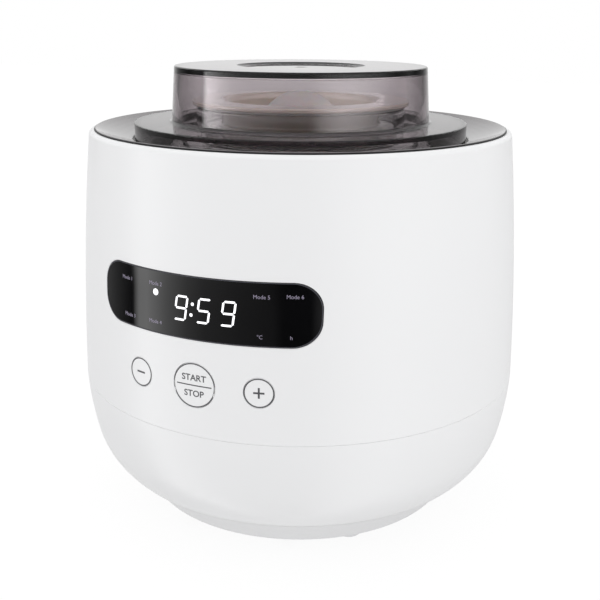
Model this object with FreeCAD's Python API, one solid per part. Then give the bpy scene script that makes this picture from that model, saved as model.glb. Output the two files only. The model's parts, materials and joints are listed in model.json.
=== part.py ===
import FreeCAD, Part
import math
import os

# Yogurt maker: a round white housing with a heating well, a glass jar standing in the well,
# a plug lid on the jar and a smoky clear cover over everything.
# Millimetres, +Z up. The origin is the centre of the plane that the feet stand on.
# The control panel faces -Y, and azimuths are measured from -Y towards +X.

# ---------------------------------------------------------------- driving dimensions
FOOT_HEIGHT = 4.2
Z_BASE_SEAM = 19.7          # base cover meets the lower shell
Z_BODY_SEAM = 64.3          # lower shell meets the upper shell
Z_RIM = 178.0               # crest of the white rim
LIP_RADIUS = 2.2            # rounding outside the crest
Z_LIP = Z_RIM - LIP_RADIUS
WALL = 2.8                  # housing wall
Z_TRIM_EDGE = 178.85        # outer edge of the trim ring
R_RIM = 96.5                # outside of the housing at the rim
R_WAIST = 101.2             # outside of the housing at Z_WAIST
Z_WAIST = 121.0
R_SEAM = 103.6              # widest place, at the body seam
SEAM_CHAMFER = 0.22
R_BOWL_FOOT = 89.2          # lower shell, at the base seam

R_COVER_TOP = 85.6          # base cover, at the base seam
R_COVER_FOOT = 74.8         # base cover, where the side meets the floor
COVER_FLOOR = 2.7           # base cover floor thickness
NOTCH_COUNT = 30
FOOT_RADIUS = 6.2
FOOT_PITCH_RADIUS = 64.0
FOOT_AZIMUTHS = (45.0, 135.0, 225.0, 315.0)

WELL_BORE = 68.5            # inside radius of the heating well
WELL_WALL = 1.2
WELL_FLANGE_RADIUS = 88.0
Z_WELL_FLOOR = 29.8         # inside of the well floor
Z_WELL_FLANGE = 171.5       # top of the well flange
LEDGE_THICK = 2.5           # shelf inside the upper shell that carries the well
GASKET_THICK = 1.0

JAR_RADIUS = 66.0
JAR_NECK_RADIUS = 48.0
JAR_WALL = 3.0
Z_JAR_NECK = 179.0          # foot of the neck
Z_JAR_TOP = 187.4
JAR_LID_RADIUS = 50.0
Z_JAR_LID = 188.4           # underside of the jar lid's brim
Z_JAR_LID_TOP = 190.4
R_LID_CUP = 36.6            # sunken cup of the jar lid
R_LID_FLANGE = 43.2         # flange at the foot of the cup, inside the jar's neck
Z_LID_FLANGE = 178.4
Z_CUP_FLOOR = 182.5
VENT_SPHERE = 20.3          # radius of the vent cap's dome
Z_VENT_TOP = 193.9

R_COVER_SKIRT = 76.2        # outer lid: skirt and flange
Z_COVER_FLANGE = 180.6
R_DOME_BASE = 59.2
R_DOME_TOP = 57.6
Z_DOME_TOP = 205.3
CLEAR_WALL = 2.3
DISH_RADIUS = 29.5

PANEL_HALF_WIDTH = 49.4     # display window
Z_PANEL = 117.9
PANEL_HALF_HEIGHT = 12.8
PANEL_CORNER = 10.5
PANEL_THICK = 2.0
Z_BUTTONS = 86.3
BUTTON_AZIMUTH = 15.25
SMALL_BUTTON_RADIUS = 6.2
MENU_BUTTON_RADIUS = 9.4
BUTTON_GAP = 0.2

Y_BOARD_FRONT = -85.6       # front face of the control board
BOARD_THICK = 1.6
BOARD_HALF_WIDTH = 45.0
BOARD_SCREW_X = 41.0
BOARD_SCREW_Z = (80.0, 137.0)
Z_POWER_BOARD = 11.5        # top of the posts under the power board
POWER_POST_X = 31.0
POWER_POST_Y = 21.0
POWER_HALF_LENGTH = 35.0
POWER_HALF_WIDTH = 25.0

INLET_HALF_WIDTH = 14.0
INLET_HALF_HEIGHT = 9.5
Z_INLET = 86.0
Y_INLET_FRONT = 103.4
Y_INLET_BACK = 82.0
PIN_X = 4.3                 # the two pins stand this far either side of the middle
PIN_RADIUS = 1.15

Z_SHELF_TOP = 24.5          # shelf of the lower shell that takes the base screws
SHELF_THICK = 2.5
R_SHELF_HOLE = 64.0
BASE_SCREW_RADIUS = 69.0    # screws from the axis
BASE_SCREW_AZIMUTHS = (20.0, 90.0, 160.0, 200.0, 270.0, 340.0)
WELL_SCREW_RADIUS = 85.0
WELL_SCREW_AZIMUTHS = (45.0, 135.0, 225.0, 315.0)

FLANGE_NEAR = 97.4          # retaining flange behind a button, from the axis
FLANGE_FAR = 99.1
# name: azimuth, cap radius, distance of the stem's end from the axis
BUTTONS = {
    "button_minus": (-BUTTON_AZIMUTH, SMALL_BUTTON_RADIUS, 94.6),
    "button_menu": (0.0, MENU_BUTTON_RADIUS, 91.0),
    "button_plus": (BUTTON_AZIMUTH, SMALL_BUTTON_RADIUS, 94.6),
}
DIGIT_PITCH = 10.2
SWITCH_X = (-24.3, 0.0, 24.3)

V = FreeCAD.Vector
UP = V(0, 0, 1)
AXIS_BASE = V(0, 0, 0)


# ---------------------------------------------------------------- helpers
def at(radius, z):
    """A point of a turned outline, in the XZ plane."""
    return V(radius, 0, z)


def turned(start, *steps):
    """Solid of revolution about Z. Each step is a point, or (middle, end) for an arc."""
    edges = []
    here = start
    for step in steps + (start,):
        if isinstance(step, tuple):
            middle, end = step
            edges.append(Part.Arc(here, middle, end).toShape())
        else:
            end = step
            if here.distanceToPoint(end) > 1e-6:
                edges.append(Part.makeLine(here, end))
        here = end
    return Part.Face(Part.Wire(edges)).revolve(AXIS_BASE, UP, 360)


def ring(inner, outer, low, high):
    """Plain ring between two radii and two heights."""
    return turned(at(inner, low), at(outer, low), at(outer, high), at(inner, high))


def rod(radius, low, high, x=0.0, y=0.0):
    """Upright cylinder."""
    return Part.makeCylinder(radius, high - low, V(x, y, low))


def rod_y(radius, y_from, y_to, x, z):
    """Cylinder along Y."""
    return Part.makeCylinder(radius, y_to - y_from, V(x, y_from, z), V(0, 1, 0))


def outward(azimuth):
    """Unit vector pointing away from the axis at an azimuth in degrees."""
    angle = math.radians(azimuth)
    return V(math.sin(angle), -math.cos(angle), 0)


def spoke(radius, azimuth, z, near, far):
    """Cylinder that points away from the axis, between two distances from it."""
    direction = outward(azimuth)
    return Part.makeCylinder(radius, far - near, direction * near + V(0, 0, z), direction)


def block(x, y, z):
    """Box from three (low, high) pairs."""
    return Part.makeBox(x[1] - x[0], y[1] - y[0], z[1] - z[0], V(x[0], y[0], z[0]))


def slab_y(half_width, half_height, corner, z, y):
    """Rounded rectangle in XZ about height z, extruded along Y between a (low, high) pair."""
    body = block((-half_width, half_width), y, (z - half_height, z + half_height))
    along_y = []
    for edge in body.Edges:
        if abs(edge.tangentAt(edge.FirstParameter).y) > 0.9:
            along_y.append(edge)
    return body.makeFillet(corner, along_y)


def placed(shape, azimuth):
    """Copy of a shape turned about Z."""
    copy = shape.copy()
    copy.rotate(AXIS_BASE, UP, azimuth)
    return copy


def polar(azimuth, radius):
    """X and Y of a place given by its azimuth and distance from the axis."""
    direction = outward(azimuth)
    return direction.x * radius, direction.y * radius


def four_corners(x, y):
    """The four places (x, y) with either sign."""
    return [(-x, -y), (-x, y), (x, -y), (x, y)]


def cable(radius, *points):
    """Round cable through the points."""
    curve = Part.BSplineCurve()
    curve.interpolate(list(points))
    path = Part.Wire(curve.toShape())
    section = Part.Wire(Part.makeCircle(radius, points[0], curve.tangent(curve.FirstParameter)[0]))
    return path.makePipeShell([section], True, True)


def pan_screw(head_radius, head_height, shank_radius, length):
    """Screw along +Z: the head's underside is at z = 0 and the shank goes up."""
    head = turned(
        at(0, 0), at(head_radius, 0), at(head_radius, -0.6 * head_height),
        (at(0.75 * head_radius, -0.92 * head_height), at(0.4 * head_radius, -head_height)),
        at(0, -head_height))
    shank = rod(shank_radius, 0, length)
    tip = Part.makeCone(shank_radius, 0.3 * shank_radius, shank_radius, V(0, 0, length))
    slot_length = 0.6 * head_radius
    slot_width = 0.15 * head_radius
    recess = (-head_height, -0.5 * head_height)
    cross = block((-slot_length, slot_length), (-slot_width, slot_width), recess)
    cross = cross.fuse(block((-slot_width, slot_width), (-slot_length, slot_length), recess))
    return head.fuse([shank, tip]).removeSplitter().cut(cross)


# ---------------------------------------------------------------- housing
def housing_wall(inset_top, depth):
    """Band of the upper housing between two depths below its outer surface."""
    outer_top = at(R_RIM - inset_top, Z_LIP)
    outer_mid = at(R_WAIST - inset_top, Z_WAIST)
    outer_low = at(R_SEAM - inset_top, Z_BODY_SEAM)
    inner_low = at(R_SEAM - depth, Z_BODY_SEAM)
    inner_mid = at(R_WAIST - depth, Z_WAIST)
    inner_top = at(R_RIM - depth, Z_LIP)
    return turned(outer_top, (outer_mid, outer_low), inner_low, (inner_mid, inner_top))


def housing_envelope(inset):
    """Everything inside a surface that lies inset below the upper housing's outer surface."""
    return turned(
        at(0, Z_BODY_SEAM), at(R_SEAM - inset, Z_BODY_SEAM),
        (at(R_WAIST - inset, Z_WAIST), at(R_RIM - inset, Z_LIP)), at(0, Z_LIP))


def upper_shell():
    lip_centre = R_RIM - LIP_RADIUS
    halfway = LIP_RADIUS * math.sqrt(0.5)
    wall = turned(
        at(R_SEAM - SEAM_CHAMFER, Z_BODY_SEAM), at(R_SEAM, Z_BODY_SEAM + SEAM_CHAMFER),
        (at(R_WAIST, Z_WAIST), at(R_RIM, Z_LIP)),
        (at(lip_centre + halfway, Z_LIP + halfway), at(lip_centre, Z_RIM)),
        at(R_RIM - WALL + 0.2, Z_RIM), at(R_RIM - WALL, Z_RIM - 0.2), at(R_RIM - WALL, Z_LIP),
        (at(R_WAIST - WALL, Z_WAIST), at(R_SEAM - WALL, Z_BODY_SEAM)))
    ledge_top = Z_WELL_FLANGE - WELL_WALL - GASKET_THICK
    ledge = ring(79.0, 95.5, ledge_top - LEDGE_THICK, ledge_top)
    shell = wall.fuse(ledge)
    bosses = []
    for side in (-1, 1):
        for z in BOARD_SCREW_Z:
            bosses.append(rod_y(3.0, -100.0, Y_BOARD_FRONT, side * BOARD_SCREW_X, z))
    inside = housing_envelope(WALL / 2)
    for boss in bosses:
        shell = shell.fuse(boss.common(inside))
    shell = shell.removeSplitter()
    pocket_skin = housing_wall(-1.0, PANEL_THICK)
    front = (-110.0, 0.0)
    pocket = slab_y(PANEL_HALF_WIDTH + 0.15, PANEL_HALF_HEIGHT + 0.15, PANEL_CORNER, Z_PANEL, front)
    shell = shell.cut(pocket.common(pocket_skin))
    sight = slab_y(PANEL_HALF_WIDTH - 2.5, PANEL_HALF_HEIGHT - 2.0, PANEL_CORNER - 2.0, Z_PANEL,
                   (-110.0, -70.0))
    shell = shell.cut(sight)
    for azimuth, radius, _ in BUTTONS.values():
        shell = shell.cut(spoke(radius + BUTTON_GAP, azimuth, Z_BUTTONS, 90, 110))
    for side in (-1, 1):
        for z in BOARD_SCREW_Z:
            shell = shell.cut(rod_y(1.2, Y_BOARD_FRONT - 5.0, Y_BOARD_FRONT, side * BOARD_SCREW_X, z))
    for azimuth in WELL_SCREW_AZIMUTHS:
        x, y = polar(azimuth, WELL_SCREW_RADIUS)
        shell = shell.cut(rod(1.5, 160, 172, x, y))
    inlet_hole = slab_y(INLET_HALF_WIDTH + 0.1, INLET_HALF_HEIGHT + 0.1, 3.0, Z_INLET, (85.0, 110.0))
    return shell.cut(inlet_hole)


def lower_shell():
    """Bowl with a tongue inside the upper shell and a shelf that takes the base screws."""
    tongue_out = R_SEAM - WALL - 0.6
    tongue_in = tongue_out - 1.4
    bowl = turned(
        at(R_SEAM - SEAM_CHAMFER, Z_BODY_SEAM), at(tongue_out, Z_BODY_SEAM),
        at(tongue_out, Z_BODY_SEAM + 4.5), at(tongue_in, Z_BODY_SEAM + 4.5),
        at(tongue_in, Z_BODY_SEAM - 1.0), (at(98.2, 49.8), at(97.0, 40.3)),
        (at(93.7, 31.6), at(88.2, Z_SHELF_TOP)),
        at(R_SHELF_HOLE, Z_SHELF_TOP), at(R_SHELF_HOLE, Z_SHELF_TOP - SHELF_THICK),
        at(80.5, Z_SHELF_TOP - SHELF_THICK), at(80.5, Z_BASE_SEAM), at(R_BOWL_FOOT, Z_BASE_SEAM),
        (at(95.3, 27.0), at(100.1, 38.6)),
        (at(102.1, 49.0), at(R_SEAM, Z_BODY_SEAM - SEAM_CHAMFER)))
    floor_top = FOOT_HEIGHT + COVER_FLOOR
    for azimuth in BASE_SCREW_AZIMUTHS:
        x, y = polar(azimuth, BASE_SCREW_RADIUS)
        bowl = bowl.fuse(rod(4.0, floor_top, Z_SHELF_TOP - 1.0, x, y))
    bowl = bowl.removeSplitter()
    for azimuth in BASE_SCREW_AZIMUTHS:
        x, y = polar(azimuth, BASE_SCREW_RADIUS)
        bowl = bowl.cut(rod(1.5, floor_top, floor_top + 10.0, x, y))
    for low, high in ((-86.0, -50.0), (50.0, 86.0)):
        bowl = bowl.cut(block((-9.0, 9.0), (low, high), (Z_SHELF_TOP - 3.0, Z_SHELF_TOP + 1.0)))
    return bowl


def base_cover():
    """Floor of the housing, with vent slots, notches in its upper edge and board posts."""
    floor_top = FOOT_HEIGHT + COVER_FLOOR
    cover = turned(
        at(0, FOOT_HEIGHT), at(R_COVER_FOOT - 1.0, FOOT_HEIGHT),
        (at(R_COVER_FOOT - 0.55, FOOT_HEIGHT + 0.1), at(R_COVER_FOOT - 0.19, FOOT_HEIGHT + 0.39)),
        at(R_COVER_TOP - 0.47, Z_BASE_SEAM - 1.9),
        (at(R_COVER_TOP - 0.12, Z_BASE_SEAM - 1.26), at(R_COVER_TOP, Z_BASE_SEAM - 0.54)),
        at(R_COVER_TOP, Z_BASE_SEAM),
        at(R_COVER_TOP - 2.6, Z_BASE_SEAM), at(R_COVER_TOP - 2.6, Z_BASE_SEAM - 1.3),
        at(R_COVER_FOOT - 1.4, floor_top), at(0, floor_top))
    for x, y in four_corners(POWER_POST_X, POWER_POST_Y):
        cover = cover.fuse(rod(3.0, floor_top, Z_POWER_BOARD, x, y))
    cover = cover.removeSplitter()
    half_notch = 1.1
    tip = V(0, -90.0, Z_BASE_SEAM - 1.6)
    left = V(-half_notch, -90.0, Z_BASE_SEAM)
    right = V(half_notch, -90.0, Z_BASE_SEAM)
    notch = Part.Face(Part.makePolygon([left, tip, right, left])).extrude(V(0, 12.0, 0))
    for index in range(NOTCH_COUNT):
        cover = cover.cut(placed(notch, 360.0 / NOTCH_COUNT * index))
    for x, y in four_corners(POWER_POST_X, POWER_POST_Y):
        cover = cover.cut(rod(1.1, floor_top, Z_POWER_BOARD, x, y))
    for y in (-44.0, -38.0, 38.0, 44.0):
        cover = cover.cut(block((-22.0, 22.0), (y - 1.25, y + 1.25), (0.0, floor_top + 1.0)))
    for azimuth in BASE_SCREW_AZIMUTHS:
        x, y = polar(azimuth, BASE_SCREW_RADIUS)
        cover = cover.cut(rod(1.8, 0.0, floor_top + 1.0, x, y))
    for azimuth in FOOT_AZIMUTHS:
        x, y = polar(azimuth, FOOT_PITCH_RADIUS)
        cover = cover.cut(rod(2.1, 0.0, floor_top + 1.0, x, y))
    return cover


def rubber_feet():
    foot = turned(
        at(0, 0), at(FOOT_RADIUS - 1.4, 0),
        (at(FOOT_RADIUS - 0.5, 0.4), at(FOOT_RADIUS - 0.1, 1.4)),
        at(FOOT_RADIUS, FOOT_HEIGHT), at(2.0, FOOT_HEIGHT),
        at(2.0, FOOT_HEIGHT + COVER_FLOOR), at(0, FOOT_HEIGHT + COVER_FLOOR))
    feet = []
    for azimuth in FOOT_AZIMUTHS:
        x, y = polar(azimuth, FOOT_PITCH_RADIUS)
        copy = foot.copy()
        copy.translate(V(x, y, 0))
        feet.append(copy)
    return Part.makeCompound(feet)


def base_screws():
    screw = pan_screw(2.8, 1.6, 1.45, COVER_FLOOR + 8.0)
    screws = []
    for azimuth in BASE_SCREW_AZIMUTHS:
        x, y = polar(azimuth, BASE_SCREW_RADIUS)
        copy = screw.copy()
        copy.translate(V(x, y, FOOT_HEIGHT))
        screws.append(copy)
    return Part.makeCompound(screws)


def top_trim_ring():
    """Dished gloss ring between the white rim and the outer lid; its edge stands above the rim."""
    inner = R_COVER_SKIRT + 1.0
    outer = R_RIM - WALL - 0.15
    skirt_low = Z_WELL_FLANGE - WELL_WALL - GASKET_THICK
    return turned(
        at(inner, Z_WELL_FLANGE), at(inner + 2.0, Z_WELL_FLANGE), at(inner + 2.0, 172.6),
        at(outer - 1.8, 176.6), at(outer - 1.8, skirt_low), at(outer, skirt_low),
        at(outer, Z_TRIM_EDGE - 0.3),
        (at(outer - 0.09, Z_TRIM_EDGE - 0.09), at(outer - 0.3, Z_TRIM_EDGE)),
        (at(84.9, 175.6), at(inner + 0.3, 173.7)), at(inner, 173.4))


# ---------------------------------------------------------------- heating well
def heating_well():
    floor_low = Z_WELL_FLOOR - WELL_WALL
    flange_low = Z_WELL_FLANGE - WELL_WALL
    outer = WELL_BORE + WELL_WALL
    well = turned(
        at(0, floor_low), at(62.5, floor_low), (at(67.59, 30.71), at(outer, floor_low + 7.2)),
        at(outer, flange_low - 1.0), at(outer + 1.0, flange_low), at(WELL_FLANGE_RADIUS, flange_low),
        at(WELL_FLANGE_RADIUS, Z_WELL_FLANGE), at(WELL_BORE + 1.0, Z_WELL_FLANGE),
        at(WELL_BORE, Z_WELL_FLANGE - 1.0), at(WELL_BORE, floor_low + 7.2),
        (at(66.74, 31.56), at(62.5, Z_WELL_FLOOR)), at(0, Z_WELL_FLOOR))
    for azimuth in WELL_SCREW_AZIMUTHS:
        x, y = polar(azimuth, WELL_SCREW_RADIUS)
        well = well.cut(rod(1.8, 165, 175, x, y))
    return well


def well_gasket():
    top = Z_WELL_FLANGE - WELL_WALL
    return ring(79.5, 81.8, top - GASKET_THICK, top)


def well_screws():
    screw = pan_screw(2.6, 1.2, 1.45, 5.0)
    screw.rotate(AXIS_BASE, V(1, 0, 0), 180)
    screws = []
    for azimuth in WELL_SCREW_AZIMUTHS:
        x, y = polar(azimuth, WELL_SCREW_RADIUS)
        copy = screw.copy()
        copy.translate(V(x, y, Z_WELL_FLANGE))
        screws.append(copy)
    return Part.makeCompound(screws)


def heater_band():
    """Thin split heating foil round the lower half of the well."""
    inner = WELL_BORE + WELL_WALL
    band = ring(inner, inner + 1.5, 45.0, 82.0)
    return band.cut(block((-5.0, 5.0), (60.0, 80.0), (40.0, 90.0)))


def insulation_sleeve():
    return ring(72.0, 77.5, 37.0, 163.0)


def sensor_bracket():
    """Spring strip that presses the sensor against the well floor."""
    high = Z_WELL_FLOOR - WELL_WALL
    strip = block((-20.0, 20.0), (-4.0, 4.0), (high - 5.0, high - 4.0))
    for side in (-1, 1):
        low_x = min(side * 20.0, side * 19.0)
        tab_x = min(side * 20.0, side * 26.0)
        strip = strip.fuse(block((low_x, low_x + 1.0), (-4.0, 4.0), (high - 5.0, high)))
        strip = strip.fuse(block((tab_x, tab_x + 6.0), (-4.0, 4.0), (high - 1.0, high)))
    return strip.removeSplitter()


def temperature_sensor():
    high = Z_WELL_FLOOR - WELL_WALL
    return rod(6.0, high - 4.0, high)


def thermal_fuse():
    high = Z_WELL_FLOOR - WELL_WALL
    body = Part.makeCylinder(2.0, 12.0, V(-6.0, 24.0, high - 2.1), V(1, 0, 0))
    leads = Part.makeCylinder(0.5, 28.0, V(-14.0, 24.0, high - 2.1), V(1, 0, 0))
    return body.fuse(leads).removeSplitter()


# ---------------------------------------------------------------- jar and lids
def glass_jar():
    foot = Z_WELL_FLOOR
    inner = JAR_RADIUS - JAR_WALL
    neck_inner = JAR_NECK_RADIUS - JAR_WALL
    return turned(
        at(0, foot + 1.5), at(50.0, foot + 1.5), at(53.0, foot), at(59.0, foot),
        (at(63.95, foot + 2.05), at(JAR_RADIUS, foot + 7.0)), at(JAR_RADIUS, 160.0),
        (at(61.5, 169.5), at(52.0, 175.0)), (at(49.1, 176.6), at(JAR_NECK_RADIUS, Z_JAR_NECK)),
        at(JAR_NECK_RADIUS, Z_JAR_TOP - 1.0),
        (at(JAR_NECK_RADIUS - 0.3, Z_JAR_TOP - 0.3), at(JAR_NECK_RADIUS - 1.0, Z_JAR_TOP)),
        at(neck_inner + 1.0, Z_JAR_TOP),
        (at(neck_inner + 0.3, Z_JAR_TOP - 0.3), at(neck_inner, Z_JAR_TOP - 1.0)),
        at(neck_inner, Z_JAR_NECK - 1.0), (at(46.2, 174.3), at(49.8, 171.9)),
        (at(58.9, 167.3), at(inner, 159.0)), at(inner, foot + 10.0),
        (at(61.5, foot + 6.0), at(57.0, foot + 4.5)), at(0, foot + 4.5))


def jar_lid_seal():
    return turned(
        at(JAR_NECK_RADIUS - JAR_WALL + 0.2, Z_JAR_TOP), at(JAR_NECK_RADIUS - 0.2, Z_JAR_TOP),
        at(JAR_NECK_RADIUS - 0.2, Z_JAR_LID), at(JAR_NECK_RADIUS - JAR_WALL + 0.2, Z_JAR_LID))


def jar_lid():
    """Cream lid: a brim on the jar's neck and a sunken cup with the vent in its floor."""
    cup_inner = R_LID_CUP - 2.3
    cup_low = Z_CUP_FLOOR - 2.0
    return turned(
        at(2.6, cup_low), at(cup_inner, cup_low), at(cup_inner, Z_LID_FLANGE),
        at(R_LID_FLANGE - 0.4, Z_LID_FLANGE),
        (at(R_LID_FLANGE - 0.12, Z_LID_FLANGE + 0.12), at(R_LID_FLANGE, Z_LID_FLANGE + 0.4)),
        at(R_LID_FLANGE, Z_LID_FLANGE + 0.9), at(R_LID_CUP + 1.0, Z_LID_FLANGE + 1.4),
        (at(R_LID_CUP + 0.3, Z_LID_FLANGE + 1.7), at(R_LID_CUP, Z_LID_FLANGE + 2.4)),
        at(R_LID_CUP, Z_JAR_LID), at(JAR_LID_RADIUS - 0.3, Z_JAR_LID),
        (at(JAR_LID_RADIUS - 0.09, Z_JAR_LID + 0.09), at(JAR_LID_RADIUS, Z_JAR_LID + 0.3)),
        at(JAR_LID_RADIUS, Z_JAR_LID_TOP - 0.8),
        (at(JAR_LID_RADIUS - 0.2, Z_JAR_LID_TOP - 0.35), at(JAR_LID_RADIUS - 0.8, Z_JAR_LID_TOP - 0.15)),
        at(cup_inner + 4.2, Z_JAR_LID_TOP),
        (at(cup_inner + 1.6, Z_JAR_LID_TOP - 0.5), at(cup_inner, Z_JAR_LID_TOP - 2.6)),
        at(cup_inner, Z_CUP_FLOOR + 1.5),
        (at(cup_inner - 0.44, Z_CUP_FLOOR + 0.44), at(cup_inner - 1.5, Z_CUP_FLOOR)),
        at(2.6, Z_CUP_FLOOR))


def vent_cap():
    """Frosted dome of soft silicone whose stem snaps through the cup floor."""
    centre = Z_VENT_TOP - VENT_SPHERE
    inner_sphere = VENT_SPHERE - 1.6
    rise = Z_CUP_FLOOR - centre
    outer_foot = math.sqrt(VENT_SPHERE ** 2 - rise ** 2)
    inner_foot = math.sqrt(inner_sphere ** 2 - rise ** 2)
    half = math.radians(45)
    outer_mid = at(VENT_SPHERE * math.sin(half / 1.6), centre + VENT_SPHERE * math.cos(half / 1.6))
    stem_top = centre + math.sqrt(inner_sphere ** 2 - 2.4 ** 2)
    inner_mid = at(inner_sphere * math.sin(half / 1.6), centre + inner_sphere * math.cos(half / 1.6))
    cup_low = Z_CUP_FLOOR - 2.0
    return turned(
        at(0, cup_low - 2.0), at(2.4, cup_low - 2.0), at(3.6, cup_low - 0.1), at(2.4, cup_low - 0.1),
        at(2.4, stem_top), (inner_mid, at(inner_foot, Z_CUP_FLOOR)), at(outer_foot, Z_CUP_FLOOR),
        (outer_mid, at(0, Z_VENT_TOP)))


def outer_lid():
    """Smoky clear cover: skirt, flange and a straight dome with a shallow finger dish."""
    skirt_inner = R_COVER_SKIRT - CLEAR_WALL
    flange_low = Z_COVER_FLANGE - CLEAR_WALL
    ceiling = Z_DOME_TOP - 2.5
    cover = turned(
        at(skirt_inner, Z_WELL_FLANGE), at(R_COVER_SKIRT, Z_WELL_FLANGE),
        at(R_COVER_SKIRT, Z_COVER_FLANGE - 0.5),
        (at(R_COVER_SKIRT - 0.15, Z_COVER_FLANGE - 0.15), at(R_COVER_SKIRT - 0.5, Z_COVER_FLANGE)),
        at(R_DOME_BASE + 1.5, Z_COVER_FLANGE),
        (at(R_DOME_BASE + 0.4, Z_COVER_FLANGE + 0.4), at(R_DOME_BASE, Z_COVER_FLANGE + 1.5)),
        at(R_DOME_TOP, Z_DOME_TOP - 0.6),
        (at(R_DOME_TOP - 0.18, Z_DOME_TOP - 0.18), at(R_DOME_TOP - 0.6, Z_DOME_TOP)),
        at(DISH_RADIUS, Z_DOME_TOP),
        (at(DISH_RADIUS - 1.3, Z_DOME_TOP - 0.7), at(DISH_RADIUS - 3.5, Z_DOME_TOP - 0.9)),
        at(0, Z_DOME_TOP - 0.9), at(0, ceiling), at(R_DOME_TOP - CLEAR_WALL - 1.0, ceiling),
        (at(R_DOME_TOP - CLEAR_WALL - 0.3, ceiling - 0.3), at(R_DOME_TOP - CLEAR_WALL, ceiling - 1.0)),
        at(R_DOME_BASE - CLEAR_WALL, flange_low), at(skirt_inner, flange_low))
    dimple = Part.makeSphere(7.5, V(0, 0, Z_DOME_TOP - 0.9 + 7.0))
    return cover.cut(dimple)


# ---------------------------------------------------------------- control panel
def display_window():
    """Curved black window that lies flush in the upper shell."""
    skin = housing_wall(0.0, PANEL_THICK)
    outline = slab_y(PANEL_HALF_WIDTH, PANEL_HALF_HEIGHT, PANEL_CORNER, Z_PANEL, (-110.0, 0.0))
    return outline.common(skin)


def display_module():
    """Four digit light module behind the window, with a shallow well for each digit."""
    front = -94.4
    module = block((-21.5, 21.5), (front, Y_BOARD_FRONT), (Z_PANEL - 8.0, Z_PANEL + 8.0))
    for place in (-1.5, -0.5, 0.5, 1.5):
        x = place * DIGIT_PITCH
        module = module.cut(block((x - 3.6, x + 3.6), (front, front + 0.6),
                                  (Z_PANEL - 6.0, Z_PANEL + 6.0)))
    return module


def control_board():
    board = block((-BOARD_HALF_WIDTH, BOARD_HALF_WIDTH), (Y_BOARD_FRONT, Y_BOARD_FRONT + BOARD_THICK),
                  (75.0, 141.0))
    for side in (-1, 1):
        for z in BOARD_SCREW_Z:
            board = board.cut(rod_y(1.6, Y_BOARD_FRONT - 1, Y_BOARD_FRONT + 3, side * BOARD_SCREW_X, z))
    return board


def board_screws():
    screw = pan_screw(2.4, 1.4, 1.15, BOARD_THICK + 3.0)
    screw.rotate(AXIS_BASE, V(1, 0, 0), 90)
    screws = []
    for side in (-1, 1):
        for z in BOARD_SCREW_Z:
            copy = screw.copy()
            copy.translate(V(side * BOARD_SCREW_X, Y_BOARD_FRONT + BOARD_THICK, z))
            screws.append(copy)
    return Part.makeCompound(screws)


def indicator_leds():
    """Small lamps behind the window, one for each mode or setting mark."""
    places = [(-33.5, -8.5), (-33.5, 7.0), (27.0, -8.5), (27.0, 7.0), (37.5, -8.5), (37.5, 7.0)]
    places += [(-18.5, -10.5), (-18.5, 10.5)]
    lamps = []
    for x, rise in places:
        z = Z_PANEL + rise
        lamps.append(block((x - 1.0, x + 1.0), (Y_BOARD_FRONT - 1.2, Y_BOARD_FRONT),
                           (z - 0.8, z + 0.8)))
    return Part.makeCompound(lamps)


def tact_switches():
    switches = []
    for x in SWITCH_X:
        case = block((x - 3.0, x + 3.0), (Y_BOARD_FRONT - 3.4, Y_BOARD_FRONT),
                     (Z_BUTTONS - 3.0, Z_BUTTONS + 3.0))
        nub = rod_y(1.7, Y_BOARD_FRONT - 4.2, Y_BOARD_FRONT - 3.0, x, Z_BUTTONS)
        switches.append(case.fuse(nub).removeSplitter())
    return Part.makeCompound(switches)


def push_button(name):
    """Cap flush with the shell, a retaining flange behind it and a stem to the switch."""
    azimuth, radius, stem_end = BUTTONS[name]
    cap = spoke(radius, azimuth, Z_BUTTONS, 98.0, 110.0).common(housing_envelope(0.0))
    flange = spoke(radius + 1.3, azimuth, Z_BUTTONS, FLANGE_NEAR, FLANGE_FAR)
    stem = spoke(1.8, azimuth, Z_BUTTONS, stem_end, FLANGE_NEAR + 0.5)
    return cap.fuse([flange, stem]).removeSplitter()


def button_guide():
    """Curved plate behind the buttons that steers their stems."""
    sweep = 22.0
    band = ring(95.3, 96.4, 76.5, 96.0)
    ends = ring(95.3, 99.6, 76.5, 96.0)
    keep = wedge(sweep, 70.0, 100.0)
    core = wedge(sweep - 1.0, 70.0, 100.0)
    guide = band.common(keep).fuse(ends.common(keep).cut(core)).removeSplitter()
    for azimuth, _, _ in BUTTONS.values():
        guide = guide.cut(spoke(1.9, azimuth, Z_BUTTONS, 90.0, 100.0))
    return guide


def wedge(half_angle, low, high):
    """Sector about the -Y direction, reaching past the housing."""
    reach = 130.0
    left = outward(-half_angle) * reach + V(0, 0, low)
    right = outward(half_angle) * reach + V(0, 0, low)
    centre = V(0, 0, low)
    return Part.Face(Part.makePolygon([centre, left, right, centre])).extrude(V(0, 0, high - low))


def buzzer():
    back = Y_BOARD_FRONT + BOARD_THICK
    body = rod_y(6.0, back, back + 4.5, -28.0, 98.0)
    return body.cut(rod_y(1.0, back + 3.0, back + 5.0, -28.0, 98.0))


# ---------------------------------------------------------------- power
def power_board():
    board = block((-POWER_HALF_LENGTH, POWER_HALF_LENGTH), (-POWER_HALF_WIDTH, POWER_HALF_WIDTH),
                  (Z_POWER_BOARD, Z_POWER_BOARD + BOARD_THICK))
    for x, y in four_corners(POWER_POST_X, POWER_POST_Y):
        board = board.cut(rod(1.4, Z_POWER_BOARD - 1, Z_POWER_BOARD + 3, x, y))
    return board


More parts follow.
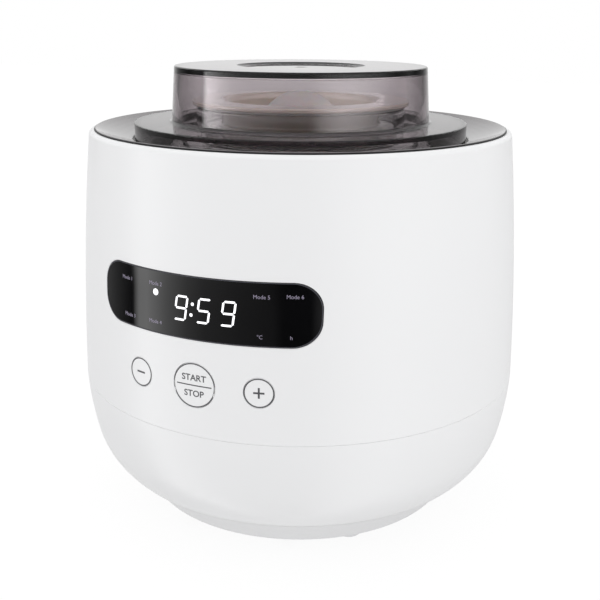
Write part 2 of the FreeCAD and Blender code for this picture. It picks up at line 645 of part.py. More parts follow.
def power_board_screws():
    screw = pan_screw(2.3, 1.3, 1.05, BOARD_THICK + 3.0)
    screw.rotate(AXIS_BASE, V(1, 0, 0), 180)
    screws = []
    for x, y in four_corners(POWER_POST_X, POWER_POST_Y):
        copy = screw.copy()
        copy.translate(V(x, y, Z_POWER_BOARD + BOARD_THICK))
        screws.append(copy)
    return Part.makeCompound(screws)


def transformer():
    low = Z_POWER_BOARD + BOARD_THICK
    core = block((-27.0, -9.0), (-8.0, 8.0), (low, low + 8.6))
    window = block((-24.0, -12.0), (-9.0, 9.0), (low + 2.2, low + 6.4))
    coil = block((-23.0, -13.0), (-9.5, 9.5), (low + 2.2, low + 6.4))
    return core.cut(window).fuse(coil).removeSplitter()


def relay():
    low = Z_POWER_BOARD + BOARD_THICK
    return block((6.0, 25.0), (6.0, 21.0), (low, low + 9.5))


def capacitor():
    low = Z_POWER_BOARD + BOARD_THICK
    return Part.makeCylinder(4.5, 18.0, V(5.0, -14.0, low + 4.5), V(1, 0, 0))


def power_inlet():
    """Figure-eight mains socket in the back of the upper shell."""
    body = slab_y(INLET_HALF_WIDTH, INLET_HALF_HEIGHT, 3.0, Z_INLET, (Y_INLET_BACK, Y_INLET_FRONT))
    for x in (-PIN_X, PIN_X):
        body = body.cut(rod_y(4.4, Y_INLET_FRONT - 14.0, Y_INLET_FRONT + 1.0, x, Z_INLET))
    for x in (-PIN_X, PIN_X):
        body = body.cut(rod_y(PIN_RADIUS, Y_INLET_BACK - 1.0, Y_INLET_FRONT, x, Z_INLET))
    return body


def inlet_pins():
    pins = []
    for x in (-PIN_X, PIN_X):
        pins.append(rod_y(PIN_RADIUS, Y_INLET_BACK, Y_INLET_FRONT - 3.0, x, Z_INLET))
    return Part.makeCompound(pins)


def mains_leads():
    leads = []
    start_z = Z_INLET - INLET_HALF_HEIGHT
    for x in (-PIN_X, PIN_X):
        leads.append(cable(
            1.1, V(x, 88.0, start_z), V(x, 88.0, 60.0), V(x, 86.0, 40.0), V(x, 76.0, 24.5),
            V(x, 55.0, 16.5), V(x, 27.0, 15.5)))
    return Part.makeCompound(leads)


def control_cable():
    return cable(
        1.6, V(0, -82.3, 76.0), V(0, -84.0, 60.0), V(0, -84.0, 42.0), V(0, -75.0, 24.5),
        V(0, -55.0, 16.5), V(0, -27.0, 15.0))


# ---------------------------------------------------------------- build
PARTS = {
    "upper_shell": upper_shell,
    "lower_shell": lower_shell,
    "base_cover": base_cover,
    "rubber_feet": rubber_feet,
    "base_screws": base_screws,
    "top_trim_ring": top_trim_ring,
    "heating_well": heating_well,
    "well_gasket": well_gasket,
    "well_screws": well_screws,
    "heater_band": heater_band,
    "insulation_sleeve": insulation_sleeve,
    "sensor_bracket": sensor_bracket,
    "temperature_sensor": temperature_sensor,
    "thermal_fuse": thermal_fuse,
    "glass_jar": glass_jar,
    "jar_lid_seal": jar_lid_seal,
    "jar_lid": jar_lid,
    "vent_cap": vent_cap,
    "outer_lid": outer_lid,
    "display_window": display_window,
    "display_module": display_module,
    "control_board": control_board,
    "board_screws": board_screws,
    "indicator_leds": indicator_leds,
    "tact_switches": tact_switches,
    "button_guide": button_guide,
    "buzzer": buzzer,
    "power_board": power_board,
    "power_board_screws": power_board_screws,
    "transformer": transformer,
    "relay": relay,
    "capacitor": capacitor,
    "power_inlet": power_inlet,
    "inlet_pins": inlet_pins,
    "mains_leads": mains_leads,
    "control_cable": control_cable,
}

os.makedirs("parts", exist_ok=True)
for node, build in PARTS.items():
    build().exportStep("parts/" + node + ".step")
for node in BUTTONS:
    push_button(node).exportStep("parts/" + node + ".step")
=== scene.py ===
import json
import math

import bpy
import bmesh
from mathutils import Matrix, Vector
from mathutils.bvhtree import BVHTree

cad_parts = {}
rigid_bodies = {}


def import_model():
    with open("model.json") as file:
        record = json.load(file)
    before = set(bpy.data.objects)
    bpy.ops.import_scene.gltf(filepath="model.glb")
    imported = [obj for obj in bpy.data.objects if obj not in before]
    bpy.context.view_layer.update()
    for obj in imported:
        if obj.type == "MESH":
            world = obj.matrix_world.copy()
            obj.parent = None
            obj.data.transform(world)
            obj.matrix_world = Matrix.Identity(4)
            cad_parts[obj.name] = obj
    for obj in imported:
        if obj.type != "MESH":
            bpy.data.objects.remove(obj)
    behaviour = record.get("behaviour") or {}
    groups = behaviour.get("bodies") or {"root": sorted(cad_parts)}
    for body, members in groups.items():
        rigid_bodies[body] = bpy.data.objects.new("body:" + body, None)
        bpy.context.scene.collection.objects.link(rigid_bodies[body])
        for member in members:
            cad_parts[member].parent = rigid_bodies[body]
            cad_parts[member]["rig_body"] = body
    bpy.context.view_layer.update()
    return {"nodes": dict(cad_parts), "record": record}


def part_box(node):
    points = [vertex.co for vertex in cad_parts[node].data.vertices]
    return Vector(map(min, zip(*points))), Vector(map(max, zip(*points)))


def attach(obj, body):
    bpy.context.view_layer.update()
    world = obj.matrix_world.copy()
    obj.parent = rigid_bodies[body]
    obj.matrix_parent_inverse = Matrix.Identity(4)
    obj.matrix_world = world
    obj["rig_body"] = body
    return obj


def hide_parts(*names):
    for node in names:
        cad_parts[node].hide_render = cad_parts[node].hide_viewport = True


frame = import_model()
NODES = frame["nodes"]
MM = 0.001

# ---------------------------------------------------------------- places (metres, degrees)
CAMERA_AZIMUTH = 24.0
CAMERA_DISTANCE = 0.4325
CAMERA_HEIGHT = 0.2274
CAMERA_PITCH = 17.28
CAMERA_ROLL = 0.34
CAMERA_YAW = -0.03
LENS = 55.08

CREASE = 32.0                   # edges sharper than this stay sharp
SPIN_STEPS = 192                # faces round a turned piece
SUPPORT = 0.3 * MM              # support loops stand this far from a turned edge
LOOP_SPACING = 6.0 * MM         # longest step between loops on a turned piece
WELD = 2e-6                     # vertices closer than this are one
ON_AXIS = 1e-6
OUTSIDE = 130.0 * MM            # a distance from the axis that is outside the housing
PRINT_DEPTH = 0.04 * MM         # printed marks reach this far into the surface
PRINT_LIFT = 0.05 * MM          # and stand this far off it
PRINT_STEP = 1.0 * MM           # longest face of a printed mark

R_DISPLAY = 101.4 * MM          # radius of the shell at the display
DIGIT_WIDTH = 6.5 * MM
DIGIT_HEIGHT = 10.25 * MM
DIGIT_STROKE = 0.84 * MM
DIGIT_GAP = 0.18 * MM
DIGIT_SLANT = math.tan(math.radians(8.0))
Z_DIGITS = 117.4 * MM
DIGIT_PLACES = (-5.8 * MM, 4.4 * MM, 14.7 * MM)
COLON_PLACE = -0.8 * MM
COLON_RISE = 2.2 * MM
COLON_DOT = 0.68 * MM           # radius
MODE_DOT = 1.35 * MM            # radius of the lit dot beside a mode
MODE_DOT_AZIMUTH = -10.4
Z_MODE_DOT = 121.9 * MM
LABEL_CAPS = 1.6 * MM           # height of the panel's small lettering
CAPS_SHARE = 0.73               # capitals' height as a share of the font's size

PANEL_CORNER = 10.5 * MM
BEAD_INSET = 0.25 * MM          # window's edge bead
BEAD_RADIUS = 0.22 * MM
DARK_BEAD_DROP = 0.60 * MM           # dark round bead just below the trim ring's edge
DARK_BEAD_RADIUS = 0.42 * MM

KEY_AZIMUTH = 15.25
SMALL_KEY = 6.2 * MM            # radius
MENU_KEY = 9.4 * MM             # radius
KEY_CAPS = 2.7 * MM             # height of the menu key's lettering
KEY_WORD_RISE = 3.3 * MM        # its words stand this far above and below the line
KEY_LINE = 15.5 * MM
SIGN_LENGTH = 4.4 * MM          # minus and plus signs
INK_STROKE = 0.75 * MM

# (radius, z) of three places on the upper housing's outer surface, and the parts flush with it
SHELL_ARC = ((103.6 * MM, 64.5 * MM), (101.2 * MM, 121.0 * MM), (96.5 * MM, 175.8 * MM))
SHELL_SLACK = 0.04 * MM
FLUSH = ("upper_shell", "display_window", "button_minus", "button_menu", "button_plus")


# ---------------------------------------------------------------- mesh helpers
def new_piece(name, bm, material, body):
    """Links a bmesh as a smooth-shaded piece whose creases stay sharp, riding on a CAD body."""
    mesh = bpy.data.meshes.new(name)
    bm.to_mesh(mesh)
    bm.free()
    mesh.shade_smooth()
    mesh.set_sharp_from_angle(angle=math.radians(CREASE))
    mesh.materials.append(material)
    piece = bpy.data.objects.new(name, mesh)
    bpy.context.scene.collection.objects.link(piece)
    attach(piece, body)
    return piece


def body_of(node):
    """Name of the CAD body that a node belongs to."""
    return NODES[node]["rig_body"]


def seam_outline(node):
    """Ordered (radius, z) points of a turned CAD node, read where its seam crosses the XZ plane,
    and whether they close on themselves rather than end on the axis."""
    mesh = NODES[node].data
    key = {}
    for vertex in mesh.vertices:
        x, y, z = vertex.co
        if abs(y) < ON_AXIS and x > -ON_AXIS:
            key[vertex.index] = (round(x, 6), round(z, 6))
    links = {}
    for edge in mesh.edges:
        a, b = edge.vertices
        if a in key and b in key and key[a] != key[b]:
            links.setdefault(key[a], set()).add(key[b])
            links.setdefault(key[b], set()).add(key[a])
    ends = [point for point in sorted(links) if len(links[point]) == 1]
    here = ends[0] if ends else sorted(links)[0]
    outline = [here]
    seen = {here}
    while True:
        onward = [point for point in sorted(links[here]) if point not in seen]
        if not onward:
            break
        here = onward[0]
        seen.add(here)
        outline.append(here)
    if ends:
        outline = reach_axis(outline)
    return outline, not ends


def reach_axis(outline):
    """The outline with the flat discs that it starts and ends with closed in to the axis."""
    start = [] if outline[0][0] < ON_AXIS else [(0.0, outline[0][1])]
    stop = [] if outline[-1][0] < ON_AXIS else [(0.0, outline[-1][1])]
    return start + outline + stop


def supported(outline, closed):
    """The outline with support points near the ends of its long segments."""
    result = []
    count = len(outline) if closed else len(outline) - 1
    for index in range(count):
        start = Vector(outline[index])
        end = Vector(outline[(index + 1) % len(outline)])
        result.append(start)
        length = (end - start).length
        if length > 4 * SUPPORT:
            step = (end - start) / length
            result.append(start + step * SUPPORT)
            parts = int(length / LOOP_SPACING) + 1
            for part in range(1, parts):
                result.append(start + step * (SUPPORT + (length - 2 * SUPPORT) * part / parts))
            result.append(end - step * SUPPORT)
    if not closed:
        result.append(Vector(outline[-1]))
    return result


def spun(outline, closed):
    """Bmesh of an outline turned about Z."""
    bm = bmesh.new()
    rings = []
    for radius, z in outline:
        if radius < ON_AXIS:
            rings.append([bm.verts.new((0, 0, z))])
            continue
        ring = []
        for step in range(SPIN_STEPS):
            angle = 2 * math.pi * step / SPIN_STEPS
            ring.append(bm.verts.new((radius * math.cos(angle), radius * math.sin(angle), z)))
        rings.append(ring)
    pairs = list(zip(rings, rings[1:]))
    if closed:
        pairs.append((rings[-1], rings[0]))
    for low, high in pairs:
        for step in range(SPIN_STEPS):
            following = (step + 1) % SPIN_STEPS
            corners = [low[step % len(low)], low[following % len(low)],
                       high[following % len(high)], high[step % len(high)]]
            corners = list(dict.fromkeys(corners))
            if len(corners) > 2:
                bm.faces.new(corners)
    bmesh.ops.recalc_face_normals(bm, faces=bm.faces)
    return bm


def turned(node, material):
    """Finely turned copy of a CAD node, which stands for it."""
    outline, closed = seam_outline(node)
    bm = spun(supported(outline, closed), closed)
    piece = new_piece(node + "_skin", bm, material, body_of(node))
    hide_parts(node)


def circle_through(first, second, third):
    """Centre (radius, z) and size of the circle through three (radius, z) points."""
    rows = []
    for point in (second, third):
        rows.append((point[0] - first[0], point[1] - first[1],
                     (point[0] ** 2 - first[0] ** 2 + point[1] ** 2 - first[1] ** 2) / 2))
    (a, b, c), (d, e, f) = rows
    scale = a * e - b * d
    centre = ((c * e - b * f) / scale, (a * f - c * d) / scale)
    return centre, math.dist(centre, first)


def true_shading(mesh):
    """Gives faces on the upper housing's outer surface the exact normals of that surface."""
    centre, size = circle_through(*SHELL_ARC)
    normals = [corner.vector.copy() for corner in mesh.corner_normals]
    for face in mesh.polygons:
        exact = []
        for index in face.vertices:
            place = mesh.vertices[index].co
            away = Vector((math.hypot(place.x, place.y) - centre[0], place.z - centre[1]))
            if away.x < 0 or abs(away.length - size) > SHELL_SLACK:
                break
            turn = math.atan2(place.y, place.x)
            away.normalize()
            exact.append(Vector((away.x * math.cos(turn), away.x * math.sin(turn), away.y)))
        if len(exact) == len(face.vertices) and face.normal.dot(exact[0]) > 0.9:
            for loop, normal in zip(face.loop_indices, exact):
                normals[loop] = normal
    mesh.normals_split_custom_set(normals)


def refined(node, material):
    """Welded, smooth-shaded copy of a CAD node, which stands for it."""
    bm = bmesh.new()
    bm.from_mesh(NODES[node].data)
    bmesh.ops.remove_doubles(bm, verts=bm.verts, dist=WELD)
    bmesh.ops.dissolve_degenerate(bm, edges=bm.edges, dist=1e-7)
    piece = new_piece(node + "_skin", bm, material, body_of(node))
    if node in FLUSH:
        true_shading(piece.data)
    else:
        weighted = piece.modifiers.new("even_shading", "WEIGHTED_NORMAL")
        weighted.keep_sharp = True
    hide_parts(node)


def tube(points, radius, sides=8):
    """Bmesh of a closed round tube through the points."""
    bm = bmesh.new()
    rings = []
    count = len(points)
    for index, point in enumerate(points):
        along = (points[(index + 1) % count] - points[index - 1]).normalized()
        outward = Vector((point.x, point.y, 0)).normalized()
        side = along.cross(outward).normalized()
        ring = []
        for step in range(sides):
            angle = 2 * math.pi * step / sides
            ring.append(bm.verts.new(point + radius * (math.cos(angle) * outward
                                                       + math.sin(angle) * side)))
        rings.append(ring)
    for index in range(count):
        low, high = rings[index], rings[(index + 1) % count]
        for step in range(sides):
            following = (step + 1) % sides
            bm.faces.new((low[step], low[following], high[following], high[step]))
    bmesh.ops.recalc_face_normals(bm, faces=bm.faces)
    return bm


def rounded_outline(half_width, half_height, corner, spacing):
    """Points round a rounded rectangle, evenly spaced, as (along, up)."""
    points = []
    for side, (sign_x, sign_z) in enumerate(((1, 1), (-1, 1), (-1, -1), (1, -1))):
        centre = Vector((sign_x * (half_width - corner), sign_z * (half_height - corner)))
        for step in range(17):
            angle = math.pi / 2 * (side + step / 16)
            points.append(centre + corner * Vector((math.cos(angle), math.sin(angle))))
    result = []
    for index, point in enumerate(points):
        following = points[(index + 1) % len(points)]
        parts = max(1, round((following - point).length / spacing))
        for part in range(parts):
            result.append(point.lerp(following, part / parts))
    return result


# ---------------------------------------------------------------- printed marks
class Surface:
    """Outer surface of some CAD nodes, found by casting rays towards the axis."""

    def __init__(self, *nodes):
        vertices = []
        faces = []
        for node in nodes:
            mesh = NODES[node].data
            start = len(vertices)
            vertices.extend(vertex.co.copy() for vertex in mesh.vertices)
            faces.extend([start + index for index in face.vertices] for face in mesh.polygons)
        self.tree = BVHTree.FromPolygons(vertices, faces)

    def toward_axis(self, azimuth, z):
        """Place on the surface at an azimuth and height, and the direction out from the axis."""
        out = Vector((math.sin(azimuth), -math.cos(azimuth), 0))
        place = self.tree.ray_cast(out * OUTSIDE + Vector((0, 0, z)), -out)[0]
        return place, out

    def along_y(self, x, z):
        """Place on the surface straight behind a point in front of the panel."""
        return self.tree.ray_cast(Vector((x, -OUTSIDE, z)), Vector((0, 1, 0)))[0]


def flat_polygon(bm, points):
    """Adds a flat face from (along, up) points."""
    return bm.faces.new([bm.verts.new((point[0], point[1], 0)) for point in points])


def flat_bar(bm, centre, length, width, angle=0.0):
    """Bar with square ends, centred on a place."""
    along = Vector((math.cos(angle), math.sin(angle))) * length / 2
    across = Vector((-math.sin(angle), math.cos(angle))) * width / 2
    centre = Vector(centre)
    flat_polygon(bm, [centre - along - across, centre + along - across,
                      centre + along + across, centre - along + across])


def flat_ring(bm, inner, outer, steps=96):
    """Thin ring about the origin."""
    for step in range(steps):
        first = 2 * math.pi * step / steps
        second = 2 * math.pi * (step + 1) / steps
        corners = []
        for radius, angle in ((inner, first), (outer, first), (outer, second), (inner, second)):
            corners.append((radius * math.cos(angle), radius * math.sin(angle)))
        flat_polygon(bm, corners)


def flat_disc(bm, centre, radius, steps=32):
    """Adds a flat round face."""
    points = []
    for step in range(steps):
        angle = 2 * math.pi * step / steps
        points.append((centre[0] + radius * math.cos(angle), centre[1] + radius * math.sin(angle)))
    flat_polygon(bm, points)


def flat_text(bm, words, cap_height, centre, weight=0.0):
    """Adds lettering in the built-in font, centred on a place."""
    curve = bpy.data.curves.new("lettering", "FONT")
    curve.body = words
    curve.size = cap_height / CAPS_SHARE
    curve.offset = weight
    curve.align_x = "CENTER"
    curve.resolution_u = 4
    holder = bpy.data.objects.new("lettering", curve)
    mesh = bpy.data.meshes.new_from_object(holder)
    mesh.transform(Matrix.Translation((centre[0], centre[1] - cap_height / 2, 0)))
    bm.from_mesh(mesh)
    bpy.data.objects.remove(holder)
    bpy.data.curves.remove(curve)
    bpy.data.meshes.remove(mesh)


def digit(bm, centre, segments):
    """Seven-segment digit: pointed bars with thin gaps, leaning to the right."""
    half_width = DIGIT_WIDTH / 2 - DIGIT_STROKE / 2 - DIGIT_HEIGHT * DIGIT_SLANT / 4
    half_height = (DIGIT_HEIGHT - DIGIT_STROKE) / 2
    bars = {
        "top": ((-half_width, half_height), (half_width, half_height)),
        "middle": ((-half_width, 0), (half_width, 0)),
        "bottom": ((-half_width, -half_height), (half_width, -half_height)),
        "upper_left": ((-half_width, 0), (-half_width, half_height)),
        "upper_right": ((half_width, 0), (half_width, half_height)),
        "lower_left": ((-half_width, -half_height), (-half_width, 0)),
        "lower_right": ((half_width, -half_height), (half_width, 0)),
    }
    for name in segments:
        start, end = Vector(bars[name][0]), Vector(bars[name][1])
        along = (end - start).normalized()
        across = Vector((-along.y, along.x)) * DIGIT_STROKE / 2
        start = start + along * DIGIT_GAP
        end = end - along * DIGIT_GAP
        taper = along * DIGIT_STROKE / 2
        corners = [start, start + taper - across, end - taper - across,
                   end, end - taper + across, start + taper + across]
        flat_polygon(bm, [(centre + point.x + point.y * DIGIT_SLANT, point.y) for point in corners])


def cut_into_steps(bm):
    """Cuts flat marks along both directions so that they can follow the curved shell."""
    for axis in (0, 1):
        values = [vertex.co[axis] for vertex in bm.verts]
        first = math.floor(min(values) / PRINT_STEP) + 1
        last = math.ceil(max(values) / PRINT_STEP)
        normal = Vector((1, 0, 0)) if axis == 0 else Vector((0, 1, 0))
        for index in range(first, last):
            bmesh.ops.bisect_plane(bm, geom=bm.verts[:] + bm.edges[:] + bm.faces[:], dist=1e-8,
                                   plane_co=normal * (index * PRINT_STEP), plane_no=normal)


def printed(name, bm, azimuth, z, surface, material, body):
    """Wraps flat marks onto a surface about an azimuth and height, as a thin closed layer."""
    bmesh.ops.remove_doubles(bm, verts=bm.verts, dist=1e-7)
    cut_into_steps(bm)
    for vertex in bm.verts:
        turn = math.radians(azimuth) + vertex.co.x / R_DISPLAY
        place, out = surface.toward_axis(turn, z + vertex.co.y)
        vertex.co = place - out * PRINT_DEPTH
    grown = bmesh.ops.extrude_face_region(bm, geom=bm.faces[:], use_keep_orig=True)
    for item in grown["geom"]:
        if isinstance(item, bmesh.types.BMVert):
            out = Vector((item.co.x, item.co.y, 0)).normalized()
            item.co += out * (PRINT_DEPTH + PRINT_LIFT)
    bmesh.ops.recalc_face_normals(bm, faces=bm.faces)
    new_piece(name, bm, material, body)


# ---------------------------------------------------------------- material helpers
def node(tree, kind, inputs=None, **settings):
    """Adds a shader node; each input is a value or an output to link from."""
    made = tree.nodes.new("ShaderNode" + kind)
    for key, value in settings.items():
        setattr(made, key, value)
    for key, value in (inputs or {}).items():
        if isinstance(value, bpy.types.NodeSocket):
            tree.links.new(value, made.inputs[key])
        else:
            made.inputs[key].default_value = value
    return made


def maths(tree, operation, first, second=0.0, third=0.0):
    """Output of a maths node."""
    return node(tree, "Math", {0: first, 1: second, 2: third}, operation=operation).outputs[0]


def blended(tree, factor, first, second):
    """Colour between two colours."""
    return node(tree, "Mix", {0: factor, 6: first, 7: second}, data_type="RGBA").outputs[2]


def spread(tree, value, low, high):
    """Maps a 0 to 1 value onto a range."""
    return node(tree, "MapRange", {0: value, 3: low, 4: high}).outputs[0]


def noise(tree, place, scale, detail=2.0, stretch=None):
    """Soft noise from 0 to 1."""
    if stretch:
        place = node(tree, "Mapping", {"Vector": place, "Scale": stretch}).outputs[0]
    grain = node(tree, "TexNoise", {"Vector": place, "Scale": scale, "Detail": detail})
    return node(tree, "MapRange", {0: grain.outputs["Fac"], 1: 0.2, 2: 0.8},
                interpolation_type="SMOOTHSTEP").outputs[0]


def shade(colour, factor):
    """The colour made lighter or darker, with its alpha."""
    return tuple(min(1.0, channel * factor) for channel in colour[:3]) + (1.0,)


def new_material(name):
    """Material, its tree, its principled shader and the object coordinates."""
    material = bpy.data.materials.new(name)
    material.use_nodes = True
    tree = material.node_tree
    shader = tree.nodes["Principled BSDF"]
    place = node(tree, "TexCoord").outputs["Object"]
    return material, tree, shader, place


def link(tree, source, shader, socket):
    """Feeds one of a shader's inputs."""
    tree.links.new(source, shader.inputs[socket])


def moulded(name, colour, roughness, grain=900.0, relief=0.02, variation=0.02, coat=0.0,
            coat_ior=1.5, translucency=0.0, sheen=0.0, cloudiness=22.0, specular=0.5):
    """Moulded plastic or rubber: cloudy colour, fine surface grain and uneven gloss."""
    material, tree, shader, place = new_material(name)
    clouds = noise(tree, place, cloudiness, 3.0)
    fine = noise(tree, place, grain, 3.0)
    base = blended(tree, clouds, shade(colour, 1 - variation), shade(colour, 1 + variation))
    link(tree, base, shader, "Base Color")
    link(tree, spread(tree, clouds, roughness * 0.94, roughness * 1.06), shader, "Roughness")
    bump = node(tree, "Bump", {"Strength": relief, "Distance": 0.0002, "Height": fine})
    link(tree, bump.outputs[0], shader, "Normal")
    shader.inputs["Coat Weight"].default_value = coat
    shader.inputs["Coat Roughness"].default_value = 0.06
    shader.inputs["Coat IOR"].default_value = coat_ior
    shader.inputs["Specular IOR Level"].default_value = specular
    shader.inputs["Sheen Weight"].default_value = sheen
    shader.inputs["Subsurface Weight"].default_value = translucency
    shader.inputs["Subsurface Scale"].default_value = 0.002
    return material


def metal(name, colour, roughness, streaks, turned_about_z=False):
    """Drawn or brushed metal with fine streaks and uneven gloss."""
    material, tree, shader, place = new_material(name)
    if turned_about_z:
        parts = node(tree, "SeparateXYZ", {0: place})
        across = node(tree, "CombineXYZ", {0: parts.outputs[0], 1: parts.outputs[1]}).outputs[0]
        radius = node(tree, "VectorMath", {0: across}, operation="LENGTH").outputs["Value"]
        place = node(tree, "CombineXYZ", {0: radius, 1: 0.0, 2: parts.outputs[2]}).outputs[0]
    lines = noise(tree, place, 260.0, 5.0, streaks)
    clouds = noise(tree, place, 30.0, 2.0)
    base = blended(tree, lines, shade(colour, 0.90), shade(colour, 1.06))
    link(tree, base, shader, "Base Color")
    uneven = maths(tree, "MULTIPLY", spread(tree, lines, 0.8, 1.2),
                   spread(tree, clouds, roughness * 0.85, roughness * 1.15))
    link(tree, uneven, shader, "Roughness")
    bump = node(tree, "Bump", {"Strength": 0.05, "Distance": 0.0001, "Height": lines})
    link(tree, bump.outputs[0], shader, "Normal")
    shader.inputs["Metallic"].default_value = 1.0
    return material


def clear(name, colour, roughness, ior, relief, streak, absorbed=None, painted_skirt_shade=None):
    """Clear moulding: tinted, with slow flow waves and faint variation of gloss.
    absorbed is the share of each colour that a millimetre of the material takes away.
    The skirt setting is the (radius, height) outside and below which slanting views get strong
    painted shade, the colour darkened towards black; all slanting views also get a lighter painted
    shade."""
    material, tree, shader, place = new_material(name)
    flow = noise(tree, place, 26.0, 1.0, streak)
    fine = noise(tree, place, 700.0, 2.0)
    base = blended(tree, flow, shade(colour, 0.985), shade(colour, 1.015))
    # painted shade: the colour is darkened towards black on slanting views, a little all over and
    # strongly on the skirt
    if painted_skirt_shade:
        parts = node(tree, "SeparateXYZ", {0: place})
        across = node(tree, "CombineXYZ", {0: parts.outputs[0], 1: parts.outputs[1]}).outputs[0]
        radius = node(tree, "VectorMath", {0: across}, operation="LENGTH").outputs["Value"]
        outside = maths(tree, "GREATER_THAN", radius, painted_skirt_shade[0])
        below = maths(tree, "LESS_THAN", parts.outputs[2], painted_skirt_shade[1])
        slant = node(tree, "LayerWeight", {"Blend": 0.5}).outputs["Facing"]
        edge = node(tree, "MapRange", {0: slant, 1: 0.5, 2: 0.95, 3: 0.0, 4: 0.22}).outputs[0]
        skirt_shade = node(tree, "MapRange", {0: slant, 1: 0.15, 2: 0.45, 3: 0.0, 4: 0.80}).outputs[0]
        painted_shade = maths(tree, "MULTIPLY_ADD", skirt_shade, maths(tree, "MULTIPLY", outside, below), edge)
        base = blended(tree, painted_shade, base, (0.0, 0.0, 0.0, 1.0))
    link(tree, base, shader, "Base Color")
    link(tree, spread(tree, fine, roughness * 0.7, roughness * 1.3), shader, "Roughness")
    bump = node(tree, "Bump", {"Strength": relief, "Distance": 0.0006, "Height": flow})
    link(tree, bump.outputs[0], shader, "Normal")
    shader.inputs["Transmission Weight"].default_value = 1.0
    shader.inputs["IOR"].default_value = ior
    if absorbed:
        kept = tuple(1 - share for share in absorbed) + (1.0,)
        depth = node(tree, "VolumeAbsorption", {"Color": kept, "Density": 1 / MM})
        tree.links.new(depth.outputs[0], tree.nodes["Material Output"].inputs["Volume"])
    return material


def felt(name, colour):
    """Pressed fibre mat."""
    material, tree, shader, place = new_material(name)
    tangle = noise(tree, place, 900.0, 6.0)
    strands = noise(tree, place, 260.0, 4.0, (1.0, 1.0, 9.0))
    mixed = maths(tree, "MULTIPLY", maths(tree, "ADD", tangle, strands), 0.5)
    link(tree, blended(tree, mixed, shade(colour, 0.72), shade(colour, 1.15)), shader, "Base Color")
    bump = node(tree, "Bump", {"Strength": 0.6, "Distance": 0.0004, "Height": mixed})
    link(tree, bump.outputs[0], shader, "Normal")
    shader.inputs["Roughness"].default_value = 0.95
    shader.inputs["Sheen Weight"].default_value = 0.4
    return material


def circuit(name, colour, copper):
    """Lacquered circuit board: faint tracks under green lacquer and small tinned pads."""
    material, tree, shader, place = new_material(name)
    tracks = node(tree, "TexBrick", {"Vector": place, "Scale": 160.0, "Mortar Size": 0.12,
                                     "Color1": (0, 0, 0, 1), "Color2": (0.15, 0.15, 0.15, 1),
                                     "Mortar": (1, 1, 1, 1)}, offset=0.37)
    pads = node(tree, "TexVoronoi", {"Vector": place, "Scale": 240.0, "Randomness": 0.35})
    pad = maths(tree, "LESS_THAN", pads.outputs["Distance"], 0.2)
    lacquer = blended(tree, tracks.outputs["Color"], colour, shade(colour, 1.8))
    link(tree, blended(tree, pad, lacquer, copper), shader, "Base Color")
    link(tree, pad, shader, "Metallic")
    link(tree, spread(tree, noise(tree, place, 60.0), 0.25, 0.4), shader, "Roughness")
    bump = node(tree, "Bump", {"Strength": 0.25, "Distance": 0.0001,
                               "Height": tracks.outputs["Color"]})
    link(tree, bump.outputs[0], shader, "Normal")
    return material


def glowing(name, colour, strength):
    """Lit segment behind the window, slightly uneven in brightness."""
    material, tree, shader, place = new_material(name)
    uneven = noise(tree, place, 700.0, 2.0)
    link(tree, blended(tree, uneven, shade(colour, 0.94), colour), shader, "Emission Color")
    link(tree, spread(tree, uneven, strength * 0.95, strength), shader, "Emission Strength")
    shader.inputs["Base Color"].default_value = shade(colour, 0.6)
    shader.inputs["Roughness"].default_value = 0.4
    return material


